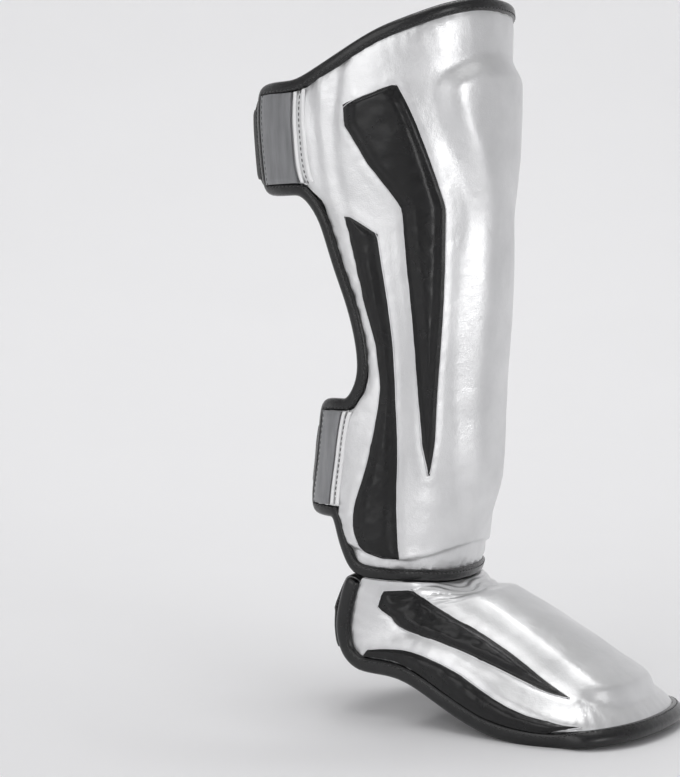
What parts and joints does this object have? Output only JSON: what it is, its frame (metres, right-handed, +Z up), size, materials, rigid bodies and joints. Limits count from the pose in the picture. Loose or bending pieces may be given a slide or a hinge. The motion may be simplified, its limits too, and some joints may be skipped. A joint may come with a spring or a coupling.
{
  "type": "kickboxing shin guard",
  "caption": "Padded shin and instep guard for one leg, with a raised centre pad, black inlay panels, rolled edge bindings, calf wings with straps, and heel and sole straps",
  "frame": {"origin": "on the leg's axis inside the shin wall, 250 mm above the floor under the toes, where the wearer's leg sits", "axes": "+X towards the toes, +Y to the wearer's left, +Z up along the leg"},
  "size_m": [0.2975, 0.1542, 0.4639],
  "materials": {
    "silver_leather": "satin metallic silver coated leather, fine grain",
    "black_leather": "glossy black coated leather, puffed",
    "binding": "glossy black rolled edge binding, stitched",
    "satin_tab": "satin grey coated cloth",
    "webbing": "black woven elastic",
    "lining": "black lining cloth"
  },
  "bodies": {
    "root": {"shin_shell": "silver_leather", "shin_binding": "binding", "instep_shell": "silver_leather", "instep_binding": "binding", "upper_calf_strap": "webbing", "lower_calf_strap": "webbing", "heel_strap": "webbing", "sole_strap": "webbing", "ankle_tongue": "lining", "side_flash_left": "black_leather", "rear_flash_left": "black_leather", "upper_tab_left": "satin_tab", "lower_tab_left": "satin_tab", "instep_flash_left": "black_leather", "instep_corner_left": "black_leather", "side_flash_right": "black_leather", "rear_flash_right": "black_leather", "upper_tab_right": "satin_tab", "lower_tab_right": "satin_tab", "instep_flash_right": "black_leather", "instep_corner_right": "black_leather"}
  },
  "joints": []
}
